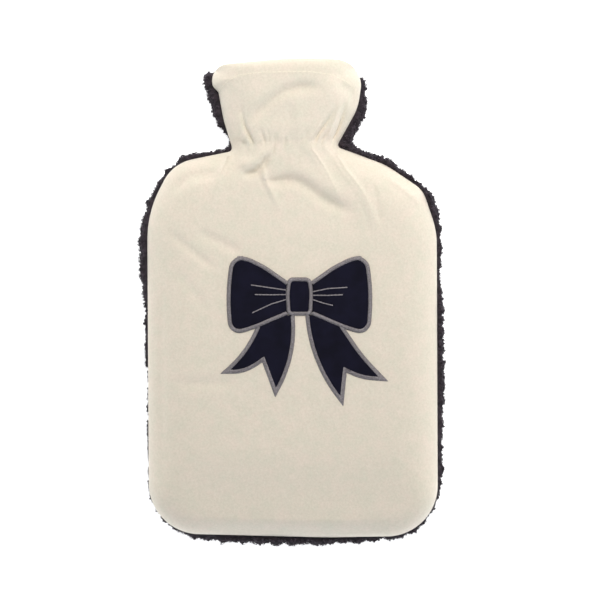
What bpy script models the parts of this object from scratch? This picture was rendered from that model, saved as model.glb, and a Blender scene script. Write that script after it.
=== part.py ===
"""Hot water bottle cover, empty, lying on its back in the shape of the bottle that fills it.

A smooth cream front and a curly dark back are sewn together round an open pouch. Elastic draws the neck in,
and the mouth above it stands open. A ribbon bow of five patches is sewn on the front.
Metres, +Z up out of the front, +Y towards the mouth. The tables and functions below are in millimetres.
"""

import math

import bmesh
import bpy
import numpy as np

MM = 0.001

# Driving dimensions, in millimetres.
SEAM_HEIGHT = 16.0  # of the side seam above the surface that the cover lies on
SEAM_GAP = 0.3  # between the front's edge and the back's
FRONT_CLOTH = 2.0
HEM_DEPTH = 10.0  # of the front's hem at the mouth
HEM_EXTRA = 2.0  # the hem is turned in once, so it is two cloths thick
BACK_CLOTH = 7.0  # the back's cloth with its pile
PILE_EDGE_HEIGHT = 8.0  # where the pile reaches furthest out
BACK_ROLL = 20.0  # width of the back's rounded edge, outside
POUCH_ROLL = 26.0  # the same, inside
ROLL_POWER = 2.5
DOME = 3.0  # how much higher the front's middle is than its crown
DOME_CENTRE_Y = -40.0
DOME_HALF_WIDTH = 104.0
DOME_HALF_LENGTH = 140.0
MOUTH_ROLL = 5.0  # width of the rounded fold at the mouth
MOUTH_DROP = 2.5
FOLD_FADE = 9.0  # folds die out this near the seam
PATCH_GAP = 0.4  # between the front and the bow's patches
PATCH_CLOTH = 1.0
BOW_CENTRE = (5.4, 4.3)
SHARPEST = 1.5  # radius of a round corner that an inset has used up

# Corners of the front's outline: name, x, y, radius, cells along its arc, and cells from there to the next arc.
FRONT_CORNERS = (
    ("mouth left", -61.2, 171.4, 12.0, 4, 1),
    ("hem end left", -53.9, 151.4, 5.0, 2, 2),
    ("neck left", -49.6, 132.5, 40.0, 2, 1),
    ("gather left", -42.7, 109.8, 3.0, 2, 3),
    ("shoulder left", -86.2, 100.3, 22.0, 4, 2),
    ("flank left", -104.6, 64.9, 38.0, 4, 7),
    ("bottom left", -103.4, -165.2, 37.0, 6, 4),
    ("bottom middle", 24.0, -168.4, 300.0, 2, 4),
    ("bottom right", 105.2, -167.2, 37.0, 6, 7),
    ("flank right", 104.4, 51.8, 60.0, 2, 1),
    ("shoulder right", 94.8, 81.5, 20.0, 4, 1),
    ("collar right", 68.1, 99.6, 60.0, 2, 3),
    ("gather right", 32.2, 112.9, 2.5, 2, 3),
    ("neck right", 47.8, 140.9, 40.0, 2, 2),
    ("mouth right", 52.5, 174.2, 18.5, 6, 3),
    ("mouth middle", 8.0, 177.7, 300.0, 4, 4),
)
# The back meets the front along the seam, and its own edge at the mouth is lower.
BACK_SEAM_CORNERS = (
    ("mouth left", -58.5, 165.0, 5.0, 4, 1),
    *FRONT_CORNERS[1:-2],
    ("mouth right", 50.5, 161.5, 5.0, 6, 3),
    ("mouth middle", -3.0, 169.5, 300.0, 4, 4),
)
# How far the pile reaches, with the cells of the seam that it surrounds.
PILE_CORNERS = (
    ("mouth left", -64.1, 166.8, 4.0, 4, 1),
    ("hem end left", -62.6, 152.5, 15.0, 2, 2),
    ("neck left", -56.5, 132.9, 50.0, 2, 1),
    ("gather left", -44.9, 112.8, 5.0, 2, 3),
    ("shoulder left", -79.6, 106.5, 20.0, 2, 1),
    ("collar left", -101.4, 86.6, 30.0, 2, 1),
    ("flank left", -112.8, 56.9, 40.0, 4, 3),
    ("side left", -105.7, -34.3, 0.0, 0, 4),
    ("bottom left", -104.6, -171.6, 46.0, 6, 4),
    ("bottom middle", -8.0, -176.8, 200.0, 2, 4),
    ("bottom right", 109.7, -172.6, 47.0, 6, 4),
    ("side right", 112.2, -34.3, 0.0, 0, 3),
    ("flank right", 107.5, 56.2, 60.0, 2, 1),
    ("shoulder right", 104.6, 75.7, 14.0, 4, 1),
    ("collar right", 78.2, 99.3, 60.0, 2, 3),
    ("gather right", 44.5, 114.1, 5.0, 2, 3),
    ("neck right", 54.3, 138.0, 30.0, 2, 2),
    ("mouth right", 55.4, 162.5, 4.0, 6, 3),
    ("mouth middle", -5.1, 171.0, 300.0, 4, 4),
)
SIDE_CELLS = 35
END_CELLS = 16
GRID_SIDES = (SIDE_CELLS, END_CELLS, SIDE_CELLS, END_CELLS)  # left, bottom, right, mouth
OUTER_INSETS = (0.0, 1.0, 3.5, 8.0)  # rings of an outer skin's grid, in from its edge
INNER_INSETS = (0.0, 2.5, 8.0)

# The front's height above the seam along the cover: y, crown, and how far in from the seam it is reached.
CROWN = (
    (-177.0, 17.0, 36.0),
    (-120.0, 18.5, 46.0),
    (0.0, 19.0, 50.0),
    (70.0, 18.5, 46.0),
    (95.0, 17.5, 38.0),
    (113.0, 16.5, 31.0),
    (130.0, 19.0, 36.0),
    (150.0, 22.0, 40.0),
    (177.0, 22.5, 42.0),
)

# Main folds of the front: half width, height (a trough is negative), and the points that they pass.
FOLDS = (
    ("right ridge", 6.0, 1.8, ((26.1, 114.1), (38.4, 96.0), (49.2, 77.9), (60.1, 54.0))),
    ("inner right ridge", 6.0, 1.4, ((5.8, 117.0), (18.8, 103.2), (32.6, 81.5))),
    ("cross trough", 8.0, -2.4, ((-17.4, 90.2), (5.8, 93.8), (20.3, 85.1), (39.8, 70.7))),
    ("left pocket", 6.5, -1.8, ((-30.0, 90.0), (-19.5, 104.7))),
    ("left ridge", 7.0, 1.2, ((-37.6, 110.5), (-50.7, 99.6), (-55.7, 81.5))),
    ("left shoulder crease", 6.0, -0.8, ((-59.4, 104.0), (-77.5, 90.4), (-86.9, 75.9))),
    ("ruff left trough", 5.0, -2.0, ((-35.5, 140.7), (-35.5, 130.7), (-30.4, 114.3))),
    ("ruff inner right trough", 5.0, -1.4, ((30.4, 143.9), (24.0, 128.0), (17.4, 115.0))),
    ("ruff right trough", 4.5, -1.6, ((37.6, 148.7), (35.0, 132.0), (29.5, 117.7))),
    ("hollow below the hem", 7.0, -1.3, ((-24.6, 143.0), (-5.0, 156.8), (20.3, 159.7))),
    ("groove above the bottom", 3.0, -0.7, ((-73.8, -153.8), (78.2, -154.8))),
)

# Corners of the bow's patches, measured from its centre: x, y, radius, cells along the arc, cells to the next.
KNOT_CORNERS = (
    (-9.8, 13.7, 6.5, 4, 2),
    (-9.7, -13.6, 5.5, 4, 2),
    (9.7, -13.6, 5.5, 4, 2),
    (9.8, 13.7, 6.5, 4, 2),
)
LEFT_LOOP_CORNERS = (
    (-48.9, 30.2, 9.0, 4, 1),
    (-52.2, 1.0, 0.0, 0, 1),
    (-50.2, -28.2, 7.5, 4, 2),
    (-33.0, -23.8, 0.0, 0, 2),
    (-10.3, -13.1, 0.0, 0, 6),
    (-10.3, 12.1, 0.0, 0, 2),
    (-35.5, 28.3, 0.0, 0, 2),
)
# Each tail is cut off under its loop, and its other end has a swallow-tail notch between two tips.
LEFT_TAIL_CORNERS = (
    (-30.6, -23.2, 0.0, 0, 1),
    (-38.3, -38.6, 80.0, 4, 1),
    (-56.8, -54.7, 0.0, 0, 1),
    (-40.0, -55.3, 40.0, 2, 1),
    (-27.0, -46.9, 0.0, 0, 2),
    (-17.4, -72.2, 0.0, 0, 1),
    (-2.6, -46.7, 100.0, 4, 1),
    (-3.3, -14.2, 0.0, 0, 2),
    (-10.9, -14.2, 0.0, 0, 4),
)
RIGHT_TAIL_CORNERS = (
    (4.2, -14.2, 0.0, 0, 1),
    (7.5, -47.7, 110.0, 4, 1),
    (31.5, -78.7, 0.0, 0, 2),
    (34.2, -54.4, 0.0, 0, 1),
    (46.0, -60.0, 60.0, 2, 1),
    (63.8, -60.7, 0.0, 0, 1),
    (45.5, -44.9, 120.0, 4, 1),
    (31.8, -23.8, 0.0, 0, 4),
    (10.9, -14.2, 0.0, 0, 2),
)
PATCH_SIDES = (6, 6, 6, 6)

CREAM = (0.80, 0.72, 0.58)
DARK_NAVY = (0.020, 0.018, 0.028)
BOW_NAVY = (0.011, 0.011, 0.022)


def unit(vector):
    return vector / np.linalg.norm(vector)


def numbers(corners):
    """Place, radius, arc cells and run cells of each corner in a table, without its name."""
    return [(np.array(row[-5:-3]), *row[-3:]) for row in corners]


def between_neighbours(items):
    """Each item of a closed loop, after the one before it and before the one that follows."""
    return zip(items[-1:] + items[:-1], items, items[1:] + items[:1])


def corner_angle(before, here, after):
    """Directions to the two neighbours, half the angle between them, and 1 where the corner sticks out, or -1."""
    to_before, to_after = unit(before - here), unit(after - here)
    half = math.acos(np.clip(to_before @ to_after, -1, 1)) / 2
    turn = to_before[1] * to_after[0] - to_before[0] * to_after[1]
    return to_before, to_after, half, math.copysign(1, turn)


def inset(corners, distance):
    """The corners of the outline that lies this far inside, its arcs about the same centres."""
    moved = []
    for (before, *_), (here, radius, *cells), (after, *_) in between_neighbours(corners):
        to_before, to_after, half, sign = corner_angle(before, here, after)
        inwards = sign * unit(to_before + to_after)
        place = here + inwards * distance / math.sin(half)
        moved.append((place, max(radius - sign * distance, SHARPEST), *cells))
    return moved


def rounded(before, here, after, radius, cells):
    """Points along the arc that rounds off a corner, or the corner itself where it has no cells."""
    if not cells:
        return here[None]
    to_before, to_after, half, _ = corner_angle(before, here, after)
    centre = here + unit(to_before + to_after) * radius / math.sin(half)
    spokes = [here + way * radius / math.tan(half) - centre for way in (to_before, to_after)]
    first, last = (math.atan2(spoke[1], spoke[0]) for spoke in spokes)
    sweep = (last - first + math.pi) % math.tau - math.pi
    angles = first + sweep * np.linspace(0, 1, cells + 1)
    return centre + radius * np.stack([np.cos(angles), np.sin(angles)], axis=1)


def outline(corners):
    """Points round an outline, from the middle of its first corner: arcs, with equal steps between them."""
    arcs = [
        rounded(before, here, after, radius, arc_cells)
        for (before, *_), (here, radius, arc_cells, _), (after, *_) in between_neighbours(corners)
    ]
    points = []
    for arc, following, (*_, run_cells) in zip(arcs, arcs[1:] + arcs[:1], corners):
        steps = np.linspace(0, 1, run_cells + 1)[1:-1, None]
        points += [arc, arc[-1] + (following[0] - arc[-1]) * steps]
    return np.roll(np.concatenate(points), -(corners[0][2] // 2), axis=0)


def sewn_line(corners):
    """The seam of a panel: its outline without the edge at the mouth."""
    return outline(corners)[: 2 * SIDE_CELLS + END_CELLS + 1]


def mouth_line(corners):
    """A panel's edge at the mouth."""
    ring = outline(corners)
    return np.concatenate([ring[2 * SIDE_CELLS + END_CELLS :], ring[:1]])


def nearest_on(line, points):
    """How far each point is from the nearest part of an open line, and how far along the line, from 0 to 1."""
    start, step = line[:-1], np.diff(line, axis=0)
    away = points[:, None] - start
    share = np.clip((away * step).sum(-1) / (step * step).sum(-1), 0, 1)
    distances = np.linalg.norm(away - share[..., None] * step, axis=-1)
    nearest = distances.argmin(1)
    rows = np.arange(len(points))
    lengths = np.linalg.norm(step, axis=1)
    passed = np.concatenate([[0], np.cumsum(lengths)])
    along = passed[nearest] + share[rows, nearest] * lengths[nearest]
    return distances[rows, nearest], along / passed[-1]


def eased(share):
    """From 0 to 1, starting and ending gently."""
    share = np.clip(share, 0, 1)
    return share * share * (3 - 2 * share)


def roll(distance, reach):
    """A rounded edge: 0 and upright where it starts, 1 and level from reach inwards."""
    return np.sqrt(1 - (1 - np.clip(distance / reach, 0, 1)) ** ROLL_POWER)


def along_cover(y, column):
    """A column of the CROWN table at y, eased from row to row."""
    stations = np.array([row[0] for row in CROWN])
    values = np.array([row[column] for row in CROWN])
    row = np.clip(np.searchsorted(stations, y) - 1, 0, len(CROWN) - 2)
    share = (y - stations[row]) / (stations[row + 1] - stations[row])
    return values[row] + (values[row + 1] - values[row]) * eased(share)


def fold_height(points):
    """The height that the folds add, each a soft ridge or trough that fades at its ends."""
    total = np.zeros(len(points))
    for _, half_width, height, line in FOLDS:
        distance, along = nearest_on(np.array(line), points)
        fade = eased(5 * along) * eased(5 * (1 - along))
        total += height * fade * np.exp(-((distance / half_width) ** 2))
    return total


FRONT = numbers(FRONT_CORNERS)
BACK_SEAM = numbers(BACK_SEAM_CORNERS)
PILE = numbers(PILE_CORNERS)
SEAM_TOP = SEAM_HEIGHT - SEAM_GAP / 2  # of the back


def front_height(points, inner=False):
    """The front's height at points inside its outline, on its face or on its inner side."""
    y = points[:, 1]
    seam = sewn_line(inset(FRONT, FRONT_CLOTH) if inner else FRONT)
    from_seam, _ = nearest_on(seam, points)
    from_mouth, _ = nearest_on(mouth_line(FRONT), points)
    rise = roll(from_seam, along_cover(y, 2))
    dome = DOME * np.clip(1 - (points[:, 0] / DOME_HALF_WIDTH) ** 2, 0, 1)
    dome *= np.clip(1 - ((y - DOME_CENTRE_Y) / DOME_HALF_LENGTH) ** 2, 0, 1)
    folds = fold_height(points) * eased(from_seam / FOLD_FADE)
    face = SEAM_HEIGHT + SEAM_GAP / 2 + (along_cover(y, 1) + dome) * rise + folds
    if inner:
        return face - (FRONT_CLOTH + HEM_EXTRA * eased((HEM_DEPTH - from_mouth) / 2)) * rise
    return face - MOUTH_DROP * (1 - roll(from_mouth, MOUTH_ROLL)) * rise


def front_inner_height(points):
    return front_height(points, inner=True)


def pouch_height(points):
    """The back's height on its inner side."""
    from_seam, _ = nearest_on(sewn_line(inset(BACK_SEAM, FRONT_CLOTH)), points)
    return SEAM_TOP - (SEAM_TOP - BACK_CLOTH) * roll(from_seam, POUCH_ROLL)


def pile_height(points):
    """The back's height on the outside, where its pile ends."""
    from_edge, _ = nearest_on(sewn_line(PILE), points)
    return PILE_EDGE_HEIGHT * (1 - roll(from_edge, BACK_ROLL))


def filled(ring, down, across):
    """A grid of points between the ring's four sides, blended from them. Its rows run from left to right."""
    left = ring[: down + 1]
    bottom = ring[down : down + across + 1]
    right = ring[down + across : 2 * down + across + 1][::-1]
    top = np.concatenate([ring[2 * down + across :], ring[:1]])[::-1]
    v = np.linspace(0, 1, down + 1)[:, None, None]
    u = np.linspace(0, 1, across + 1)[None, :, None]
    corners = (1 - v) * ((1 - u) * top[0] + u * top[-1]) + v * ((1 - u) * bottom[0] + u * bottom[-1])
    return (1 - u) * left[:, None] + u * right[:, None] + (1 - v) * top[None] + v * bottom[None] - corners


def band(first, second, count):
    """Faces between two rings of as many points, whose first points are numbered first and second."""
    steps = [(i, (i + 1) % count) for i in range(count)]
    return [(first + i, first + j, second + j, second + i) for i, j in steps]


def grid(corners, sides, insets=(0.0,)):
    """A flat grid inside an outline: rings along its edge, and a patch inside the last of them.

    Returns its points, its faces and the length of its first ring, which is its edge.
    """
    rings = [outline(inset(corners, distance)) for distance in insets]
    count = len(rings[0])
    down, across = sides[:2]
    last = (len(rings) - 1) * count
    faces = []
    for start in range(0, last, count):
        faces += band(start, start + count, count)
    index = np.empty((down + 1, across + 1), int)
    index[1:-1, 1:-1] = last + count + np.arange((down - 1) * (across - 1)).reshape(down - 1, across - 1)
    index[:, 0] = last + np.arange(down + 1)
    index[-1, :] = last + down + np.arange(across + 1)
    index[::-1, -1] = last + down + across + np.arange(down + 1)
    index[0, ::-1] = last + (2 * down + across + np.arange(across + 1)) % count
    for v in range(down):
        for u in range(across):
            faces.append((index[v, u], index[v + 1, u], index[v + 1, u + 1], index[v, u + 1]))
    inside = filled(rings[-1], down, across)[1:-1, 1:-1].reshape(-1, 2)
    return np.concatenate([*rings, inside]), faces, count


def lifted(flat, height):
    """The flat grid's points at the height that a function gives, with its faces and the length of its edge."""
    points, faces, count = flat
    return np.column_stack([points, height(points)]), faces, count


def solid(name, first, loops, last, finish):
    """A closed solid between two skins, whose edges are joined through the loops of points between them."""
    count = first[2]
    parts = [first[0], *loops, last[0]]
    starts = np.cumsum([0] + [len(part) for part in parts[:-1]])
    faces = first[1] + [tuple(starts[-1] + i for i in face) for face in last[1]]
    for upper, lower in zip(starts, starts[1:]):
        faces += band(upper, lower, count)
    mesh = bpy.data.meshes.new(name)
    mesh.from_pydata((np.concatenate(parts) * MM).tolist(), [], [tuple(map(int, face)) for face in faces])
    shape = bmesh.new()
    shape.from_mesh(mesh)
    bmesh.ops.recalc_face_normals(shape, faces=shape.faces[:])
    shape.to_mesh(mesh)
    shape.free()
    mesh.shade_smooth()
    mesh.materials.append(finish)
    made = bpy.data.objects.new(name, mesh)
    bpy.context.scene.collection.objects.link(made)
    return made


def material(name, colour, roughness):
    """A plain cloth finish."""
    made = bpy.data.materials.new(name)
    made.use_nodes = True
    shader = made.node_tree.nodes["Principled BSDF"]
    shader.inputs["Base Color"].default_value = (*colour, 1)
    shader.inputs["Roughness"].default_value = roughness
    shader.inputs["Metallic"].default_value = 0
    return made


def make_front(finish):
    """The smooth front: one cloth, crowned over the bottle, with its hem turned in at the mouth."""
    face = lifted(grid(FRONT, GRID_SIDES, OUTER_INSETS), front_height)
    inner_side = lifted(grid(inset(FRONT, FRONT_CLOTH), GRID_SIDES, INNER_INSETS), front_inner_height)
    return solid("front_panel", face, [], inner_side, finish)


def make_back(finish):
    """The curly back: a shallow dish, flat underneath, whose pile stands out past the seam."""
    pouch_side = lifted(grid(inset(BACK_SEAM, FRONT_CLOTH), GRID_SIDES, INNER_INSETS), pouch_height)
    pile_side = lifted(grid(PILE, GRID_SIDES, OUTER_INSETS), pile_height)
    seam = outline(BACK_SEAM)
    lip = np.column_stack([seam, pouch_side[0][: len(seam), 2]])
    furthest = pile_side[0][: len(seam)]
    brow = lip + (furthest - lip) * (0.7, 0.7, 0.35)
    return solid("back_panel", pouch_side, [lip, brow], pile_side, finish)


def make_patch(name, corners, finish, side=1):
    """One patch of the bow, lying on the front. With side -1 it is its mirror image across the knot."""
    points, faces, count = grid(numbers(corners), PATCH_SIDES)
    placed = points * (side, 1) + BOW_CENTRE, faces, count
    under = lifted(placed, lambda flat: front_height(flat) + PATCH_GAP)
    over = under[0] + (0, 0, PATCH_CLOTH), faces, count
    return solid(name, over, [], under, finish)


def main():
    for old in list(bpy.data.objects):
        bpy.data.objects.remove(old)
    cream = material("cream velour", CREAM, 0.9)
    dark = material("dark curly fleece", DARK_NAVY, 1.0)
    navy = material("navy bow cloth", BOW_NAVY, 0.85)
    make_front(cream)
    make_back(dark)
    make_patch("bow_knot", KNOT_CORNERS, navy)
    make_patch("bow_loop_left", LEFT_LOOP_CORNERS, navy)
    make_patch("bow_loop_right", LEFT_LOOP_CORNERS, navy, side=-1)
    make_patch("bow_tail_left", LEFT_TAIL_CORNERS, navy)
    make_patch("bow_tail_right", RIGHT_TAIL_CORNERS, navy)


main()
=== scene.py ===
"""Looks of a hot water bottle cover: a smooth cream velour front, a curly dark navy fleece back, a gathered
neck with an open mouth, and a ribbon bow in navy cloth edged with grey satin stitch. It lies face up.
"""

import math

import bmesh
import bpy
import numpy as np
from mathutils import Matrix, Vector, noise
from mathutils.geometry import delaunay_2d_cdt


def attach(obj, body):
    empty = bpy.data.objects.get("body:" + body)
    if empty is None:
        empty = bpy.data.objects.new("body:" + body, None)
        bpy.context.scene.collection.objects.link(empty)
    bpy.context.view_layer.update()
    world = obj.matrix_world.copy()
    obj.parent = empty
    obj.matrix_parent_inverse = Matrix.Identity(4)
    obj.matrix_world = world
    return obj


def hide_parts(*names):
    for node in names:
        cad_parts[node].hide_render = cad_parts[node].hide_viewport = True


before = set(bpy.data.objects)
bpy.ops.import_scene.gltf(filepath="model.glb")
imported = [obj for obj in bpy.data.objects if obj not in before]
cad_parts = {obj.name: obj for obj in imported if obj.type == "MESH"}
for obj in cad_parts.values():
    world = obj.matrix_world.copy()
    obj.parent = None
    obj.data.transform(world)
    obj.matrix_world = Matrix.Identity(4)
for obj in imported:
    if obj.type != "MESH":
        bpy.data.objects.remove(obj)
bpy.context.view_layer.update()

# --------------------------------------------------------------------------------------------------------
# The table and the light
# A white table top seen straight from above through a long lens, as in the photograph. A wide soft lamp hangs
# beyond the mouth, a little to the right. White walls fill the shadows from all round: they are brighter than
# the ceiling, and brightest and coolest beyond the foot of the cover.

MM = 0.001
MM_PER_PIXEL = 0.724
VIEW_CENTRE = (5.8 * MM, 1.9 * MM)
CAMERA_HEIGHT = 6.0
SEAM_LEVEL = 16 * MM  # the photograph's scale holds at the side seam
FRAME_WIDTH = 600 * MM_PER_PIXEL * MM
WALL_LIGHT = 2.03  # at the level of the table
CEILING_LIGHT = 0.166
CEILING_STARTS = 0.6  # as the sine of its angle above the table
FOOT_GAIN = 0.36  # how much brighter the wall beyond the foot is, and how much darker beyond the mouth
LAMP_PLACE = (0.17, 0.62, 1.0)
LAMP_WIDTH = 0.8
LAMP_WATTS = 13.0
TABLE_WIDTH = 4.0
TABLE_TOP = -0.3 * MM  # a hair under the pile


def linear(hex_colour):
    """An sRGB colour such as #E8DFCB as linear red, green, blue and 1."""
    parts = [int(hex_colour[place : place + 2], 16) / 255 for place in (1, 3, 5)]
    return (*(part / 12.92 if part <= 0.04045 else ((part + 0.055) / 1.055) ** 2.4 for part in parts), 1.0)


def add(tree, kind, inputs=None, **settings):
    """Adds a node to a material: settings are its own options, and inputs its sockets' values or links."""
    node = tree.nodes.new("ShaderNode" + kind)
    for option, value in settings.items():
        setattr(node, option, value)
    for socket, value in (inputs or {}).items():
        if isinstance(value, bpy.types.NodeSocket):
            tree.links.new(value, node.inputs[socket])
        else:
            node.inputs[socket].default_value = value
    return node


def material(name, values):
    """A new material, its node tree and its shader, which is given some values."""
    made = bpy.data.materials.new(name)
    made.use_nodes = True
    shader = made.node_tree.nodes["Principled BSDF"]
    for socket, value in values.items():
        shader.inputs[socket].default_value = value
    return made, made.node_tree, shader


def two_tones(tree, marks, low, high, dark, pale):
    """The colours of a noise's marks: dark where it is below low, pale above high, and mixed between."""
    ramp = add(tree, "ValToRGB", {"Fac": marks.outputs["Fac"]})
    for tone, place, colour in zip(ramp.color_ramp.elements, (low, high), (dark, pale)):
        tone.position, tone.color = place, linear(colour)
    return ramp.outputs[0]


camera_data = bpy.data.cameras.new("camera")
camera_data.lens = camera_data.sensor_width * (CAMERA_HEIGHT - SEAM_LEVEL) / FRAME_WIDTH
camera_data.clip_end = 50
camera = bpy.data.objects.new("camera", camera_data)
camera.location = (*VIEW_CENTRE, CAMERA_HEIGHT)
bpy.context.scene.collection.objects.link(camera)
bpy.context.scene.camera = camera

bpy.context.scene.view_settings.view_transform = "Standard"

world = bpy.data.worlds.new("white room")
world.use_nodes = True
bpy.context.scene.world = world
tree = world.node_tree
sky = add(tree, "SeparateXYZ", {"Vector": add(tree, "TexCoord").outputs["Generated"]})
walls = add(tree, "MapRange", {
    "Value": sky.outputs["Z"], "From Max": CEILING_STARTS, "To Min": WALL_LIGHT, "To Max": CEILING_LIGHT,
})
side = add(tree, "Math", {0: sky.outputs["Y"], 1: -FOOT_GAIN, 2: 1.0}, operation="MULTIPLY_ADD")
strength = add(tree, "Math", {0: walls.outputs[0], 1: side.outputs[0]}, operation="MULTIPLY")
from_foot = add(tree, "MapRange", {"Value": sky.outputs["Y"], "From Min": -1.0})
tint = add(
    tree, "Mix", {0: from_foot.outputs[0], 6: linear("#E9F2FF"), 7: linear("#FFFBF6")}, data_type="RGBA"
)
tree.links.new(tint.outputs[2], tree.nodes["Background"].inputs["Color"])
tree.links.new(strength.outputs[0], tree.nodes["Background"].inputs["Strength"])

lamp_data = bpy.data.lights.new("soft lamp", "AREA")
lamp_data.shape = "DISK"
lamp_data.size = LAMP_WIDTH
lamp_data.energy = LAMP_WATTS
lamp = bpy.data.objects.new("soft lamp", lamp_data)
lamp.location = LAMP_PLACE
lamp.rotation_euler = (-lamp.location).to_track_quat("-Z", "Y").to_euler()
bpy.context.scene.collection.objects.link(lamp)

bpy.ops.object.select_all(action="DESELECT")
bpy.ops.mesh.primitive_plane_add(size=TABLE_WIDTH, location=(0, 0, TABLE_TOP))
table = bpy.context.object
table.name = "table"
table_white, _, _ = material("white laminate", {
    "Base Color": linear("#F7F7F6"), "Roughness": 0.7, "Emission Color": linear("#FFFFFF"),
    "Emission Strength": 0.9,
})
table.data.materials.append(table_white)

# --------------------------------------------------------------------------------------------------------
# Front panel
# One piece of smooth cream velour, about 2 mm thick, cut to the bottle's shape and stretched over it. Its hem
# is turned in at the mouth, and elastic behind the neck draws it into the gathers.

# Corners of its outline in millimetres: x, y and radius, from the mouth's left end round by the bottom.
FRONT_CORNERS = (
    (-61.4, 171.2, 12.0),
    (-57.2, 156.4, 3.5),
    (-53.3, 152.2, 1.0),
    (-49.6, 132.5, 40.0),
    (-42.7, 109.8, 3.0),
    (-86.2, 100.9, 30.0),
    (-104.8, 64.9, 80.0),
    (-103.5, -166.7, 37.0),
    (24.0, -170.0, 300.0),
    (105.6, -168.7, 37.0),
    (104.8, 51.8, 60.0),
    (94.8, 81.5, 20.0),
    (68.1, 99.6, 60.0),
    (32.2, 112.9, 2.5),
    (47.8, 140.9, 40.0),
    (52.5, 174.2, 18.5),
    (8.0, 177.7, 280.0),
)
FRONT_ENDS = (0, 7, 9, 15)  # the corners where its left side, foot, right side and mouth start
FRONT_CLOTH = 2.0
FRONT_SEAM = 16.15  # height of its sewn edge
FRONT_EDGE_RINGS = (0.0, 0.15, 0.5, 1.1, 2.1, 3.4)

# Height above the seam along the cover: y, crown, and how far in from the seam it is reached.
CROWN = (
    (-177.0, 14.5, 20.0),
    (-150.0, 15.5, 23.0),
    (-105.0, 18.5, 42.0),
    (0.0, 19.0, 44.0),
    (70.0, 18.5, 42.0),
    (95.0, 18.2, 38.0),
    (113.0, 18.4, 31.0),
    (130.0, 20.4, 36.0),
    (150.0, 22.3, 40.0),
    (166.0, 22.0, 42.0),
    (177.0, 20.5, 42.0),
)

# Broad folds: half width, height (a trough is negative), and the points that each passes.
BROAD_FOLDS = (
    (4.4, 2.2, ((-16.0, 114.0), (-20.5, 107.0), (-25.5, 102.0), (-33.0, 100.6), (-42.0, 103.0))),
    (2.6, -3.1, ((-15.4, 110.6), (-18.0, 105.0), (-21.0, 99.0), (-25.2, 94.4), (-31.0, 92.6), (-38.0, 93.6))),
    (4.6, -3.4, (
        (-25.0, 86.6), (-12.3, 86.6), (-4.0, 88.0), (3.0, 88.0), (9.0, 85.0), (14.5, 81.0), (20.0, 76.6),
        (27.0, 72.2), (36.0, 68.2), (50.0, 62.5),
    )),
    (8.5, -0.9, ((-28.0, 77.0), (-8.0, 78.5), (8.0, 76.0), (21.0, 67.0), (40.0, 58.0), (56.0, 54.0))),
    (7.0, 0.8, ((-8.0, 97.5), (4.0, 98.0), (15.0, 92.0), (26.0, 84.5), (38.0, 79.0), (52.0, 75.0))),
    (4.0, -1.9, ((-50.0, 93.5), (-62.0, 92.5), (-73.0, 91.0), (-80.0, 86.0), (-87.0, 77.0))),
    (4.1, -3.0, (
        (-34.0, 127.0), (-24.0, 138.0), (-15.0, 146.4), (-5.0, 152.8), (5.0, 155.4), (15.0, 155.8),
        (27.0, 153.4),
    )),
    (8.0, -0.8, ((-26.0, 124.0), (-12.0, 138.0), (2.0, 146.0), (16.0, 147.0), (28.0, 144.0))),
    (4.0, 0.6, ((3.6, 152.0), (3.8, 136.0), (4.6, 119.0))),
    (3.4, -0.6, ((-2.2, 146.0), (-1.6, 136.0), (-0.6, 126.0))),
    (5.0, -1.0, ((-39.0, 156.0), (-38.5, 146.0), (-36.5, 132.0))),
    (3.4, -1.5, ((29.0, 160.5), (37.0, 156.5), (42.0, 152.0), (45.5, 146.0), (47.0, 138.0))),
    (3.2, -1.05, ((-92.5, 54.0), (-86.0, 48.6), (-79.0, 42.6), (-70.2, 35.8), (-62.0, 29.2), (-52.0, 21.6))),
    (4.0, -1.25, ((-71.0, 52.0), (-63.0, 49.2), (-52.0, 43.8), (-40.0, 37.6), (-33.0, 35.0))),
    (4.0, -0.7, ((-86.0, 26.0), (-76.0, 14.0), (-67.0, 2.0), (-60.0, -11.0))),
    (4.2, -0.9, ((-91.0, -56.5), (-76.0, -58.4), (-58.0, -58.0), (-36.0, -57.4))),
    (2.2, 0.8, ((66.0, 92.0), (78.0, 84.2), (88.0, 76.4), (95.0, 68.0))),
    (2.0, -0.7, ((57.6, 88.0), (60.4, 79.0), (62.6, 66.0), (64.4, 54.0))),
    (1.8, -0.6, ((47.5, 76.0), (51.8, 67.0), (55.0, 56.0), (57.5, 46.0))),
    (3.2, -0.9, ((-93.0, 36.0), (-93.6, 0.0), (-93.8, -50.0), (-93.4, -100.0), (-92.0, -134.0))),
    (2.8, 0.8, ((-84.0, -155.0), (-40.0, -157.2), (30.0, -158.0), (86.0, -156.0))),
    (2.4, -0.9, ((-84.0, -162.4), (-40.0, -164.6), (30.0, -165.4), (86.0, -163.4))),
)

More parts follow.
